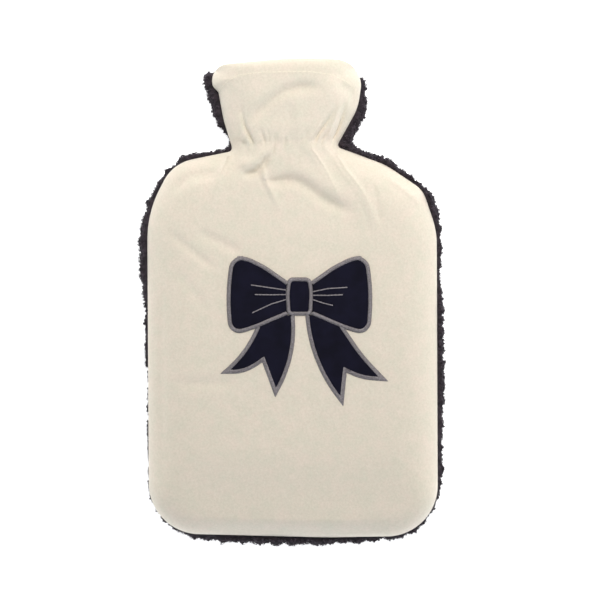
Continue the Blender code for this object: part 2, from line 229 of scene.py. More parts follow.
# Creases that the elastic pulls, troughs and ridges: height, half width at the first and at the last point,
# and the points. They die out at the last.
CREASES = (
    (-3.2, 1.1, 2.6, (
        (-27.8, 114.4), (-29.4, 118.0), (-32.0, 122.9), (-34.2, 128.0), (-36.2, 138.0), (-36.6, 150.0),
    )),
    (0.5, 1.4, 2.4, ((-30.8, 114.6), (-34.0, 120.4), (-36.6, 125.6), (-38.4, 132.0))),
    (-1.4, 0.9, 1.6, ((-31.8, 113.6), (-36.9, 116.2), (-44.0, 117.4))),
    (-1.5, 1.0, 2.2, ((-19.2, 115.6), (-20.2, 118.4), (-21.8, 122.2), (-25.0, 128.2))),
    (-1.0, 1.0, 2.0, ((-16.2, 116.0), (-16.5, 120.6), (-18.2, 127.6))),
    (-0.5, 1.0, 2.0, ((-12.4, 116.4), (-12.6, 121.0), (-13.4, 128.0))),
    (-0.7, 1.1, 2.2, ((8.2, 117.4), (9.8, 121.0), (12.0, 127.0))),
    (1.0, 1.2, 1.9, ((12.9, 117.6), (16.2, 123.0), (22.0, 131.8), (30.6, 144.6))),
    (-3.0, 1.1, 1.8, ((16.4, 117.4), (19.2, 122.0), (25.0, 130.6), (33.4, 143.4))),
    (1.8, 1.2, 2.0, ((24.2, 117.8), (26.6, 121.5), (29.4, 128.0), (32.8, 137.0), (36.2, 150.0))),
    (-4.2, 1.2, 2.1, ((29.0, 116.4), (31.4, 121.5), (34.2, 128.5), (37.2, 138.0), (39.4, 151.0))),
    (-1.2, 0.8, 1.4, ((21.6, 117.2), (23.6, 120.0), (26.4, 123.4))),
    (-1.0, 0.8, 1.4, ((-12.2, 114.6), (-13.2, 109.0), (-15.4, 101.5))),
    (-0.6, 0.9, 2.0, ((-5.4, 116.0), (-5.8, 111.6), (-6.8, 106.0))),
    (-0.5, 0.9, 2.0, ((2.4, 116.4), (2.8, 112.2), (3.4, 107.0))),
    (1.0, 1.0, 1.8, ((9.4, 117.4), (13.4, 112.4), (18.1, 106.1), (25.3, 94.6), (34.4, 76.0), (42.0, 60.0))),
    (0.8, 2.2, 3.8, ((7.2, 115.8), (11.2, 110.8), (15.9, 104.5), (23.1, 93.0), (32.2, 74.4), (39.8, 58.4))),
    (1.2, 1.0, 2.0, (
        (22.4, 117.4), (31.1, 108.9), (38.4, 97.0), (47.1, 86.2), (54.3, 74.6), (62.5, 54.0), (69.0, 35.0),
    )),
    (1.0, 2.2, 4.2, (
        (20.2, 115.6), (28.9, 107.1), (36.2, 95.2), (44.9, 84.6), (51.9, 73.4), (60.1, 53.0), (66.6, 34.0),
    )),
    (-1.0, 1.0, 3.0, ((-21.0, 88.0), (-12.3, 88.0), (-4.0, 89.6), (3.0, 90.0))),
    (2.2, 1.4, 2.4, ((-20.6, 97.5), (-20.0, 91.0), (-16.4, 83.0), (-12.2, 74.0), (-6.0, 63.0))),
    (-0.5, 1.2, 2.2, ((-24.4, 93.0), (-20.8, 84.0), (-16.8, 75.0), (-11.0, 64.0))),
    (2.3, 1.4, 2.8, ((-43.0, 112.0), (-50.0, 97.5), (-54.3, 83.0), (-62.0, 58.0))),
)

# Lower edge of the hem at the mouth, and the line that the elastic is sewn along.
HEM_LINE = (
    (-53.9, 151.2), (-48.3, 158.8), (-39.2, 164.2), (-25.8, 165.9), (0.0, 166.8), (14.0, 166.6),
    (29.0, 164.6), (40.6, 158.8), (50.4, 149.0),
)
HEM_RISE = 0.5  # of the doubled cloth beyond its stitches
HEM_GROOVE = 0.4  # that the stitches pull
HEM_TURN = 10.0  # how far in from the mouth the turned cloth reaches
MOUTH_DROP, MOUTH_ROLL = 5.0, 9.0  # how far the edge at the mouth rolls down, and over what width
GATHER_LINE = (
    (-44.0, 112.4), (-33.0, 113.2), (-26.8, 115.0), (-17.4, 116.0), (-0.7, 116.9), (12.0, 117.3),
    (23.9, 116.9), (33.0, 114.6),
)
GATHER_GROOVE, GATHER_HALF_WIDTH = 0.6, 1.2
PUCKER, PUCKER_WIDTH, PUCKER_REACH = 0.75, 2.6, 6.5  # the small puckers on both sides of the elastic
WAVES = ((0.35, 42, 3.1), (0.22, 15, 7.7))  # height, width and seed of the cloth's slight unevenness all over
DOME = 1.6  # how much higher the middle of the body stands
DOME_MIDDLE, DOME_HALF_WIDTH, DOME_HALF_LENGTH = -40.0, 104.0, 140.0
FOLD_FADE = 3.6  # a broad fold dies out at both ends, over its length divided by this
CREASES_START = 45.0  # creases are only sought beyond this, from the foot
INNER_CREASE = 6.0  # the least half width of a crease on the other side of the cloth
SEAM_HOLD = 6.0  # how far in from the seam the folds reach their full height
FRONT_SPACING = 1.35  # of its mesh
FRONT_LEAST_CELLS = (0, 168)  # along its sides, and across
INNER_RINGS = (0.0, 1.5, 3.5)  # rings of the mesh inside, at both panels
LARGEST_TABLE = 2_000_000  # of distances worked out at once


def unit(vector):
    return vector / np.linalg.norm(vector)


def neighbours(items):
    """Each item of a closed loop, after the one before it and before the one that follows."""
    return zip(items[-1:] + items[:-1], items, items[1:] + items[:1])


def corner(before, here, after):
    """Directions to the two neighbours, half the angle between them, and 1 where it sticks out, else -1."""
    to_before, to_after = unit(before - here), unit(after - here)
    half = math.acos(np.clip(to_before @ to_after, -1, 1)) / 2
    sign = math.copysign(1, to_before[1] * to_after[0] - to_before[0] * to_after[1])
    return to_before, to_after, half, sign


def inset(corners, distance):
    """The corners of the outline that lies this far inside. A sharp corner, of radius 0, stays sharp."""
    moved = []
    for (before, _), (here, radius), (after, _) in neighbours(corners):
        to_before, to_after, half, sign = corner(before, here, after)
        place = here + sign * unit(to_before + to_after) * distance / math.sin(half)
        moved.append((place, max(radius - sign * distance, 0.6) if radius else 0.0))
    return moved


def arcs_of(corners, cells):
    """Points along the arc that rounds each corner, with that many cells, or a sharp corner itself."""
    arcs = []
    for ((before, _), (here, radius), (after, _)), count in zip(neighbours(corners), cells):
        if not radius:
            arcs.append(here[None])
            continue
        to_before, to_after, half, _ = corner(before, here, after)
        centre = here + unit(to_before + to_after) * radius / math.sin(half)
        spokes = [here + way * radius / math.tan(half) - centre for way in (to_before, to_after)]
        first, last = (math.atan2(spoke[1], spoke[0]) for spoke in spokes)
        sweep = (last - first + math.pi) % math.tau - math.pi
        angles = first + sweep * np.linspace(0, 1, count + 1)
        arcs.append(centre + radius * np.stack([np.cos(angles), np.sin(angles)], axis=1))
    return arcs


def lengths_of(corners):
    """The lengths of each corner's arc, and of the straight run after it."""
    arcs = arcs_of(corners, [16] * len(corners))
    rounds = [np.linalg.norm(np.diff(arc, axis=0), axis=1).sum() for arc in arcs]
    return rounds, [np.linalg.norm(after[0] - arc[-1]) for arc, after in zip(arcs, arcs[1:] + arcs[:1])]


def shared(total, lengths):
    """Shares a number of cells out in proportion to some lengths."""
    lengths = np.array(lengths)
    cells = np.maximum(np.round(total * lengths / lengths.sum()), lengths > 0).astype(int)
    cells[cells.argmax()] += total - cells.sum()
    return cells


def cells_of(corners, ends, spacing, least=(0, 0)):
    """Cells for each corner's arc and for the run after it, and how many each pair of opposite sides has.

    ends are the four corners where the sides start. A side has a multiple of 4 cells, about spacing long.
    """
    rounds, runs = lengths_of(corners)
    number = len(corners)
    arc_cells, run_cells = [0] * number, [0] * number
    sides = [[place % number for place in range(*pair)] for pair in zip(ends, ends[1:] + (ends[0] + number,))]
    afters = [(side[-1] + 1) % number for side in sides]
    lengths = [
        [runs[side[0]], *(length for place in side[1:] for length in (rounds[place], runs[place]))]
        for side in sides
    ]
    whole = [
        sum(parts) + (rounds[side[0]] + rounds[after]) / 2
        for parts, side, after in zip(lengths, sides, afters)
    ]
    longest = [max(whole[way], whole[way + 2]) for way in (0, 1)]
    wanted = [4 * math.ceil(max(longest[way] / spacing, least[way]) / 4) for way in (0, 1)]
    steps = [length / wanted[way % 2] for way, length in enumerate(whole)]
    for way, side in enumerate(sides):
        arc_cells[side[0]] = 2 * math.ceil(rounds[side[0]] / 2 / min(steps[way], steps[way - 1]))
    for way, (side, after) in enumerate(zip(sides, afters)):
        counts = shared(wanted[way % 2] - (arc_cells[side[0]] + arc_cells[after]) // 2, lengths[way])
        run_cells[side[0]] = counts[0]
        for place, arc, run in zip(side[1:], counts[1::2], counts[2::2]):
            arc_cells[place], run_cells[place] = arc, run
    return arc_cells, run_cells, wanted


def outline(corners, cells):
    """Points round an outline, from the middle of its first corner."""
    arc_cells, run_cells, _ = cells
    arcs = arcs_of(corners, arc_cells)
    points = []
    for arc, following, count in zip(arcs, arcs[1:] + arcs[:1], run_cells):
        steps = np.linspace(0, 1, count + 1)[1:-1, None]
        points += [arc, arc[-1] + (following[0] - arc[-1]) * steps]
    return np.roll(np.concatenate(points), -(arc_cells[0] // 2), axis=0)


def nearest_on(line, points):
    """How far each point is from an open line, and where along it its nearest part lies, from 0 to 1."""
    line = np.asarray(line, float)
    start, step = line[:-1], np.diff(line, axis=0)
    lengths = np.linalg.norm(step, axis=1)
    passed = np.concatenate([[0], np.cumsum(lengths)])
    distances, alongs = [], []
    for some in np.array_split(points, max(1, len(points) * len(start) // LARGEST_TABLE)):
        away = some[:, None] - start
        share = np.clip((away * step).sum(-1) / (step * step).sum(-1), 0, 1)
        gaps = np.linalg.norm(away - share[..., None] * step, axis=-1)
        nearest, rows = gaps.argmin(1), np.arange(len(some))
        distances.append(gaps[rows, nearest])
        alongs.append((passed[nearest] + share[rows, nearest] * lengths[nearest]) / passed[-1])
    return np.concatenate(distances), np.concatenate(alongs)


def eased(share):
    """From 0 to 1, starting and ending gently."""
    share = np.clip(share, 0, 1)
    return share * share * (3 - 2 * share)


def roll(distance, reach, upright=1.0):
    """A rounded edge: 0 where it starts and 1 from reach inwards. With upright below 1 it starts sloping."""
    left = 1 - np.clip(distance / reach, 0, 1)
    return upright * np.sqrt(1 - left**2.5) + (1 - upright) * (1 - left**3.5)


def along_cover(y, column):
    """A column of CROWN at y, eased from row to row."""
    stations, values = (np.array([row[place] for row in CROWN]) for place in (0, column))
    row = np.clip(np.searchsorted(stations, y) - 1, 0, len(CROWN) - 2)
    share = eased((y - stations[row]) / np.diff(stations)[row])
    return values[row] + (values[row + 1] - values[row]) * share


def noisy(points, size, seed=0.0):
    """Smooth noise from about -1 to 1 whose bumps are about that many millimetres wide."""
    return np.array([noise.noise(Vector((x / size + seed, y / size - seed, z / size))) for x, y, z in points])


def flat_noise(points, size, seed):
    return noisy(np.column_stack([points, np.zeros(len(points))]), size, seed)


FRONT = [(np.array(row[:2]), row[2]) for row in FRONT_CORNERS]
FRONT_CELLS = cells_of(FRONT, FRONT_ENDS, FRONT_SPACING, least=FRONT_LEAST_CELLS)


def front_height(points, inner=False):
    """The front's height at points in millimetres, on its face or on the other side of the cloth."""
    x, y = points.T
    sewn = 2 * FRONT_CELLS[2][0] + FRONT_CELLS[2][1] + 1
    ring = outline(FRONT, FRONT_CELLS)
    from_mouth, _ = nearest_on(np.concatenate([ring[sewn - 1 :], ring[:1]]), points)
    if inner:
        ring = outline(inset(FRONT, FRONT_CLOTH), FRONT_CELLS)
    from_seam, _ = nearest_on(ring[:sewn], points)
    rise = roll(from_seam, along_cover(y, 2), upright=0.45)
    dome = DOME * np.clip(1 - (x / DOME_HALF_WIDTH) ** 2, 0, 1)
    dome *= np.clip(1 - ((y - DOME_MIDDLE) / DOME_HALF_LENGTH) ** 2, 0, 1)
    folds = np.zeros(len(points))
    for half_width, height, line in BROAD_FOLDS:
        distance, along = nearest_on(line, points)
        fade = eased(FOLD_FADE * along) * eased(FOLD_FADE * (1 - along))
        folds += height * fade * np.exp(-((distance / half_width) ** 2))
    near = y > CREASES_START
    for height, narrow, wide, line in CREASES:
        if inner and height > 0:
            continue
        distance, along = nearest_on(line, points[near])
        width = np.maximum(narrow + (wide - narrow) * along, INNER_CREASE if inner else 0)
        fade = eased((1 - along) * 1.4) * (0.5 + 0.5 * eased(7 * along))
        folds[near] += height * fade * np.exp(-((distance / width) ** 1.6))
    if not inner:
        from_gather, _ = nearest_on(GATHER_LINE, points)
        puckers = flat_noise(points * (1, 0.3), PUCKER_WIDTH, 5.3)
        folds += PUCKER * np.exp(-((from_gather / PUCKER_REACH) ** 2)) * puckers
        folds -= GATHER_GROOVE * np.exp(-((from_gather / GATHER_HALF_WIDTH) ** 1.6))
        for height, width, seed in WAVES:
            folds += height * flat_noise(points, width, seed)
    face = FRONT_SEAM + (along_cover(y, 1) + dome) * rise + folds * eased(from_seam / SEAM_HOLD)
    if inner:
        return face - FRONT_CLOTH * (1 + eased((HEM_TURN - from_mouth) / 2)) * rise
    from_hem, _ = nearest_on(HEM_LINE, points)
    hem_x, hem_y = np.array(HEM_LINE).T
    from_hem *= np.where(y > np.interp(x, hem_x, hem_y), 1, -1)
    hem = HEM_RISE * eased((from_hem - 0.8) / 6) - HEM_GROOVE * eased(0.5 + from_hem / 1.7)
    return face + (hem - MOUTH_DROP * (1 - roll(from_mouth, MOUTH_ROLL))) * rise


def filled(ring, down, across, fade):
    """A grid of points between the ring's four sides, blended from them. Its rows run from left to right.

    The higher fade is, the nearer to the top and the foot their own curves are lost.
    """
    left = ring[: down + 1]
    foot = ring[down : down + across + 1]
    right = ring[down + across : 2 * down + across + 1][::-1]
    top = np.concatenate([ring[2 * down + across :], ring[:1]])[::-1]
    v = np.linspace(0, 1, down + 1)[:, None, None]
    u = np.linspace(0, 1, across + 1)[None, :, None]
    rows = (1 - u) * left[:, None] + u * right[:, None]
    return rows + (1 - v) ** fade * (top[None] - rows[:1]) + v**fade * (foot[None] - rows[-1:])


def band(first, second, count):
    """Faces between two rings of as many points, whose first points are numbered first and second."""
    here = np.arange(count)
    after = (here + 1) % count
    return np.stack([first + here, first + after, second + after, second + here], axis=1).tolist()


def disc(corners, cells, rings, start=0, every=1, fade=10):
    """A flat grid inside an outline: rings along its edge, and a patch inside the last of them.

    Returns its points, its faces, numbered from start, and the length of its rings. With every=4 it keeps
    each fourth point of the outline.
    """
    down, across = (count // every for count in cells[2])
    edge = [outline(inset(corners, distance), cells)[::every] for distance in rings]
    count = len(edge[0])
    last = start + (len(edge) - 1) * count
    faces = []
    for first in range(start, last, count):
        faces += band(first, first + count, count)
    index = np.empty((down + 1, across + 1), int)
    index[1:-1, 1:-1] = last + count + np.arange((down - 1) * (across - 1)).reshape(down - 1, across - 1)
    index[:, 0] = last + np.arange(down + 1)
    index[-1, :] = last + down + np.arange(across + 1)
    index[::-1, -1] = last + down + across + np.arange(down + 1)
    index[0, ::-1] = last + (2 * down + across + np.arange(across + 1)) % count
    cells_in = [index[:-1, :-1], index[1:, :-1], index[1:, 1:], index[:-1, 1:]]
    faces += np.stack(cells_in, axis=-1).reshape(-1, 4).tolist()
    inside = filled(edge[-1], down, across, fade)[1:-1, 1:-1].reshape(-1, 2)
    return np.concatenate([*edge, inside]), faces, count


def piece(name, points, faces, finish, recalculate=True):
    """A mesh object at the origin, from points in millimetres, smooth shaded."""
    mesh = bpy.data.meshes.new(name)
    mesh.from_pydata((np.asarray(points) * MM).tolist(), [], faces)
    if recalculate:
        shape = bmesh.new()
        shape.from_mesh(mesh)
        bmesh.ops.recalc_face_normals(shape, faces=shape.faces[:])
        shape.to_mesh(mesh)
        shape.free()
    mesh.shade_smooth()
    mesh.materials.append(finish)
    made = bpy.data.objects.new(name, mesh)
    bpy.context.scene.collection.objects.link(made)
    return made


def two_skins(outer, edges, inner_corners, cells, inner_rings, inner_height):
    """Points and faces of a closed sheet: a fine outer skin, loops over its edge, and a coarse inner skin."""
    points, faces, count = outer
    parts, faces, first, start = [points], list(faces), 0, len(points)
    for loop in edges:
        faces += band(first, start, count)
        parts.append(loop)
        first, start = start, start + count
    flat, inner_faces, coarse = disc(inner_corners, cells, inner_rings, start, every=4)
    for fine in range(0, count, 4):
        here, after = start + fine // 4, start + (fine // 4 + 1) % coarse
        faces.append([first + fine + step for step in range(4)] + [first + (fine + 4) % count, after, here])
    parts.append(np.column_stack([flat, inner_height(flat)]))
    return np.concatenate(parts), faces + inner_faces


# Knitted velour: a dense short pile, cut 1 mm high, that scatters light softly and brightens at grazing
# angles. Faint ribs, 1.4 mm apart, run along the cover, and strokes of a hand leave paler and darker patches.
# A noise's scale is how many of its marks make a metre.
velour, tree, shader = material("cotton velour, cream", {
    "Roughness": 0.9, "Specular IOR Level": 0.2, "Sheen Weight": 1.0, "Sheen Roughness": 0.4,
    "Sheen Tint": linear("#FFFDF8"),
})
place = add(tree, "TexCoord").outputs["Object"]
strokes = add(tree, "TexNoise", {"Vector": place, "Scale": 85, "Detail": 5, "Roughness": 0.7})
stretched = add(tree, "Mapping", {"Vector": place, "Scale": (1.0, 0.3, 1.0)})
ribs = add(tree, "TexNoise", {"Vector": stretched.outputs[0], "Scale": 700, "Detail": 2, "Roughness": 0.6})
nap = add(tree, "TexNoise", {"Vector": place, "Scale": 620, "Detail": 4, "Roughness": 0.75})
tones = two_tones(tree, strokes, 0.34, 0.66, "#DCD5C3", "#E4D7C7")
grain = two_tones(tree, nap, 0.3, 0.7, "#F0EFEC", "#FFFFFF")
colour = add(tree, "Mix", {0: 1.0, 6: tones, 7: grain}, data_type="RGBA", blend_type="MULTIPLY")
height = add(tree, "Math", {0: ribs.outputs["Fac"], 1: 0.15, 2: nap.outputs["Fac"]}, operation="MULTIPLY_ADD")
bump = add(tree, "Bump", {"Height": height.outputs[0], "Strength": 0.5, "Distance": 0.22 * MM})
tree.links.new(colour.outputs[2], shader.inputs["Base Color"])
tree.links.new(bump.outputs[0], shader.inputs["Normal"])

flat, faces, count = disc(FRONT, FRONT_CELLS, FRONT_EDGE_RINGS)
face = np.column_stack([flat, front_height(flat)])
under = front_height(outline(inset(FRONT, FRONT_CLOTH), FRONT_CELLS), inner=True)
nose = face[:count] + np.column_stack([np.zeros((count, 2)), 0.4 * (under - face[:count, 2])])
points, faces = two_skins(
    (face, faces, count), [nose], inset(FRONT, FRONT_CLOTH), FRONT_CELLS, INNER_RINGS,
    lambda inside: front_height(inside, inner=True),
)
front = piece("front_velour", points, faces, velour)

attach(front, "root")
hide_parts("front_panel")

# --------------------------------------------------------------------------------------------------------
# Hem stitches
# The hem is sewn down with cream thread, 3 mm stitches that sink into the pile along its lower edge.


def along_line(line, spacing):
    """Points a given distance apart along a line through a few points, without its corners."""
    line = np.asarray(line, float)
    lengths = np.linalg.norm(np.diff(line, axis=0), axis=1)
    passed = np.concatenate([[0], np.cumsum(lengths)])
    stops = np.arange(0, passed[-1], spacing)
    return np.stack([np.interp(stops, passed, part) for part in line.T], axis=1)


def tubes(paths, radii, sides=3):
    """Points and faces of closed tubes: paths is (tubes, stations, 3), and radii goes along each of them."""
    paths = np.asarray(paths, float)
    number, stations, _ = paths.shape
    radii = np.broadcast_to(radii, (number, stations))
    along = np.gradient(paths, axis=1)
    along /= np.linalg.norm(along, axis=2, keepdims=True) + 1e-9
    start = np.where(np.abs(along[:, 0, 2:]) > 0.8, (1.0, 0.0, 0.0), (0.0, 0.0, 1.0))
    across = np.empty_like(paths)
    carried = np.cross(start, along[:, 0])
    for station in range(stations):
        carried = carried - (carried * along[:, station]).sum(1, keepdims=True) * along[:, station]
        carried /= np.linalg.norm(carried, axis=1, keepdims=True) + 1e-9
        across[:, station] = carried
    upwards = np.cross(along, across)
    angles = math.tau * np.arange(sides) / sides
    ring = np.cos(angles)[:, None] * across[:, :, None] + np.sin(angles)[:, None] * upwards[:, :, None]
    points = paths[:, :, None] + radii[:, :, None, None] * ring
    one = np.arange(stations * sides).reshape(stations, sides)
    after = np.roll(one, -1, axis=1)
    walls = np.stack([one[:-1], after[:-1], after[1:], one[1:]], axis=-1).reshape(-1, 4)
    shifts = np.arange(number) * stations * sides
    faces = (shifts[:, None, None] + walls).reshape(-1, 4).tolist()
    faces += (shifts[:, None] + one[0, ::-1]).tolist() + (shifts[:, None] + one[-1]).tolist()
    return points.reshape(-1, 3), faces


cream_thread, _, _ = material("polyester sewing thread, cream", {
    "Base Color": linear("#E6DDC8"), "Roughness": 0.6, "Sheen Weight": 0.2,
})

STITCH, STITCH_STEP = 3.0, 3.6
STITCH_RADIUS = 0.18
STITCH_ARCH, STITCH_SINK = 0.22, 0.16  # each stitch stands up in its middle, and its ends are pulled in
starts = along_line(HEM_LINE, STITCH_STEP)[1:-1]
ways = np.gradient(starts, axis=0)
ways /= np.linalg.norm(ways, axis=1, keepdims=True)
share = np.linspace(-0.5, 0.5, 6)
flat = starts[:, None] + ways[:, None] * STITCH * share[:, None]
rise = front_height(flat.reshape(-1, 2)).reshape(flat.shape[:2])
rise = rise + STITCH_ARCH * np.cos(math.pi * share) - STITCH_SINK
points, faces = tubes(np.dstack([flat, rise]), STITCH_RADIUS, sides=5)
hem_stitches = piece("hem_stitches", points, faces, cream_thread, recalculate=False)
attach(hem_stitches, "root")

# --------------------------------------------------------------------------------------------------------
# Back panel
# Curly fleece: a dark navy knit whose pile stands about 5 mm in small knobs of crimped fibre. It is sewn to
# the front all round but at the mouth, and its pile sticks out past the seam like a fringe.

SEAM_CORNERS = ((-58.5, 165.0, 5.0), *FRONT_CORNERS[1:-2], (50.5, 161.5, 5.0), (-3.0, 169.5, 300.0))
PILE_CORNERS = (
    (-64.1, 166.8, 4.0),
    (-62.6, 152.5, 15.0),
    (-56.5, 132.9, 50.0),
    (-43.9, 113.0, 3.0),
    (-79.6, 107.0, 20.0),
    (-99.4, 86.0, 30.0),
    (-112.4, 56.9, 40.0),
    (-105.3, -34.3, 90.0),
    (-104.1, -170.2, 43.5),
    (-57.0, -172.8, 200.0),
    (-8.0, -176.8, 200.0),
    (45.0, -175.0, 200.0),
    (108.7, -169.0, 44.0),
    (111.2, -34.3, 90.0),
    (107.5, 56.2, 60.0),
    (104.6, 75.7, 14.0),
    (78.2, 99.8, 60.0),
    (44.5, 114.6, 5.0),
    (54.3, 138.0, 30.0),
    (55.4, 162.5, 4.0),
    (-5.1, 171.0, 300.0),
)
PILE_ENDS = (0, 8, 12, 19)
SEAM = [(np.array(row[:2]), row[2]) for row in SEAM_CORNERS]
PILE = [(np.array(row[:2]), row[2]) for row in PILE_CORNERS]
PILE_DEPTH = 3.2  # of the knobs that stand on the cloth modelled below them
BACK_SPACING = 1.2  # of its mesh
BACK_EDGE_RINGS = (0.0, 0.9, 1.9, 3.0, 4.2)
SIDE_ROWS = 12  # of the mesh, from the seam down to where the back is widest
POUCH_EDGE = 15.85  # height of the back at the seam, inside
POUCH_DROP, POUCH_ROLL = 8.85, 26.0  # how far it rolls down from there, and over what width
WIDEST = 8.0  # the height at which the back is widest
UNDER_ROLL = 18.0  # over this width it rolls under, down to the table
KNOB, SMALL_KNOB = 4.6, 2.0  # width
SMALL_SHARE = 0.3  # of the small knobs' height to that of the others
KNOB_RISE, CLEFT_RISE = 0.75, 0.05  # shares of the reach
KNOB_REACH, REACH_SWING = 2.5, 2.6  # how far the knobs stand out, and how much that changes along the rim
LEAST_REACH, MOST_REACH = 0.2, 4.2
LIP_FADE = 3.0  # the knobs rise over this width from the seam
TABLE_GAP = 0.3
RIM_WIDTH = 9.0  # of the part that can be seen from above
RIM_APART, BACK_APART = 2.3, 3.5  # between tufts
BOX = 5.0  # in which a tuft's neighbours are looked up, larger than tufts are apart
SEAM_CLEAR = 1.8  # no tuft is rooted nearer to the seam
LEAN = 0.35  # of the tufts, as the spread of their directions
TUFT_LENGTH = 1.5
TUFT_SHARES, FIBRE_SHARES = (0.6, 1.2), (0.6, 1.1)  # how much a tuft, and a fibre in it, differs from that
ROOT_DEPTH = 0.25
SPREAD, DRAWN_IN = 0.7, 0.55  # of a tuft's fibres at their roots, and by what share less at their tips
TURNS, CURLS = (4, 8), (0.3, 0.7)  # radians that a fibre turns on its way, and how wide
FIBRE_ROOT, FIBRE_TIP = 0.27, 0.13  # radius of a lock of fibres
LEAST_HEIGHT, LEVELLING = 0.15, 0.3  # fibres that would dip below this lie along the table
pile_cells = cells_of(PILE, PILE_ENDS, BACK_SPACING)
seam_cells = cells_of(SEAM, FRONT_ENDS, BACK_SPACING, least=pile_cells[2])
pile_cells = cells_of(PILE, PILE_ENDS, BACK_SPACING, least=seam_cells[2])
sewn = 2 * seam_cells[2][0] + seam_cells[2][1] + 1


def pouch_height(points):
    """The back's height on the side of the pouch."""
    from_seam, _ = nearest_on(outline(inset(SEAM, FRONT_CLOTH), seam_cells)[:sewn], points)
    return POUCH_EDGE - POUCH_DROP * roll(from_seam, POUCH_ROLL)


def cloth_height(points):
    """The height of the cloth under the pile, on the outside."""
    from_edge, _ = nearest_on(outline(inset(PILE, PILE_DEPTH), pile_cells)[:sewn], points)
    return WIDEST - (WIDEST - PILE_DEPTH) * roll(from_edge, UNDER_ROLL)


# Fleece: crimped matt fibres, nearly black at their roots and greyer at their tips. That difference is
# painted shade and painted light. The cloth at the roots takes the darker copy of the material, as painted
# shade between the tufts, and the tufts take the greyer copy, as painted light where their tips catch it.
# They darken and pale in clumps 3 mm wide, and the crimp of single fibres is 1 mm wide, as fine as it can
# show.
fleeces = []
for name, dark, pale, sheen in (
    ("curly polyester fleece, dark navy, at the roots", "#1A1418", "#3A3037", 0.08),
    ("curly polyester fleece, dark navy, at the tips", "#2B2329", "#564A53", 0.3),
):
    made, tree, shader = material(name, {
        "Roughness": 0.75, "Specular IOR Level": 0.3, "Sheen Weight": sheen, "Sheen Roughness": 0.4,
        "Sheen Tint": linear("#8F8B9C"),
    })
    place = add(tree, "TexCoord").outputs["Object"]
    clumps = add(tree, "TexNoise", {"Vector": place, "Scale": 300, "Detail": 3, "Roughness": 0.6})
    crimp = add(
        tree, "TexNoise", {"Vector": place, "Scale": 1100, "Detail": 2, "Roughness": 0.7, "Distortion": 1.5}
    )
    tones = two_tones(tree, clumps, 0.35, 0.7, dark, pale)
    bump = add(tree, "Bump", {"Height": crimp.outputs["Fac"], "Strength": 0.8, "Distance": 0.6 * MM})
    tree.links.new(tones, shader.inputs["Base Color"])
    tree.links.new(bump.outputs[0], shader.inputs["Normal"])
    fleeces.append(made)

flat, faces, count = disc(inset(PILE, PILE_DEPTH), pile_cells, BACK_EDGE_RINGS)
outside = np.column_stack([flat, cloth_height(flat)])
furthest = outside[:count]
seam_ring = outline(SEAM, seam_cells)
lip = np.column_stack([seam_ring, pouch_height(outline(inset(SEAM, FRONT_CLOTH), seam_cells))])
sides = []
for turn in 1 - np.arange(1, SIDE_ROWS + 1) / SIDE_ROWS:
    out, down = math.sin(turn * math.pi / 2), 1 - math.cos(turn * math.pi / 2)
    sides.append(lip + (furthest - lip) * (out, out, down))
points, faces = two_skins(
    (outside, faces, count), sides, inset(SEAM, FRONT_CLOTH), seam_cells, INNER_RINGS, pouch_height
)
# The cloth takes the darker fleece: painted shade at the roots of the pile.
back = piece("back_fleece_cloth", points, faces, fleeces[0])
outer = len(outside) + count * (SIDE_ROWS - 1)  # points of the outside, whose pile shows


def normals_of(part):
    normals = np.empty(len(part.data.vertices) * 3, np.float32)
    part.data.vertices.foreach_get("normal", normals)
    return normals.reshape(-1, 3).astype(float)


def knobs(points, size, seed):
    """Round knobs of pile about that many millimetres wide: 1 at the top of one, 0 in the clefts between."""
    nearest = np.array([noise.voronoi(Vector(point) / size + Vector((seed, 0, 0)))[0][0] for point in points])
    cleft = 0.8  # how far from a knob's middle, as a share of its width
    return np.sqrt(np.clip(1 - (nearest / cleft) ** 2, 0, 1))


# The pile stands in knobs, lower next to the seam and where the cover lies on the table. They are sought at
# points that are pushed about, so that they aren't all round.
normals = normals_of(back)[:outer]
pushed = np.stack([noisy(points[:outer], 3.0, seed) for seed in (1.5, 4.5, 8.5)], axis=1)
pushed += points[:outer]
knob = knobs(pushed, KNOB, 0.3) + SMALL_SHARE * knobs(pushed, SMALL_KNOB, 6.1)
along_rim = points[:outer] * (1, 1, 0)
broad, narrow = (REACH_SWING * noisy(along_rim, size, seed) for size, seed in ((20, 12.5), (5.5, 31.5)))
reach = np.clip(KNOB_REACH + broad + narrow, LEAST_REACH, MOST_REACH)
from_lip = np.full(outer, np.inf)
from_rows = np.concatenate(sides[:-1]) - np.tile(lip, (SIDE_ROWS - 1, 1))
from_lip[len(outside) :] = np.linalg.norm(from_rows, axis=1)
rise = reach * (KNOB_RISE * knob + CLEFT_RISE) * eased(from_lip / LIP_FADE)
points[:outer] += normals * rise[:, None]
points[:outer, 2] = np.maximum(points[:outer, 2], TABLE_GAP)
back.data.vertices.foreach_set("co", (points * MM).ravel())
back.data.update()

# Tufts of fibre are rooted apart from each other on the outside, nearer together at the rim that shows from
# above.
normals = normals_of(back)
from_rim, _ = nearest_on(outline(PILE, pile_cells)[:sewn], points[:outer, :2])
at_rim = (from_rim < RIM_WIDTH) | (np.arange(outer) >= len(outside))
rng = np.random.default_rng(4)
taken, roots = {}, []
for index in rng.permutation(np.flatnonzero(from_lip > SEAM_CLEAR)):
    apart = RIM_APART if at_rim[index] else BACK_APART
    cell = tuple((points[index] // BOX).astype(int))
    around = [
        other
        for shift in np.ndindex(3, 3, 3)
        for other in taken.get(tuple(cell[axis] + shift[axis] - 1 for axis in range(3)), ())
    ]
    if not around or (np.linalg.norm(points[around] - points[index], axis=1) > apart).all():
        taken.setdefault(cell, []).append(index)
        roots.append(index)
roots = np.array(roots)


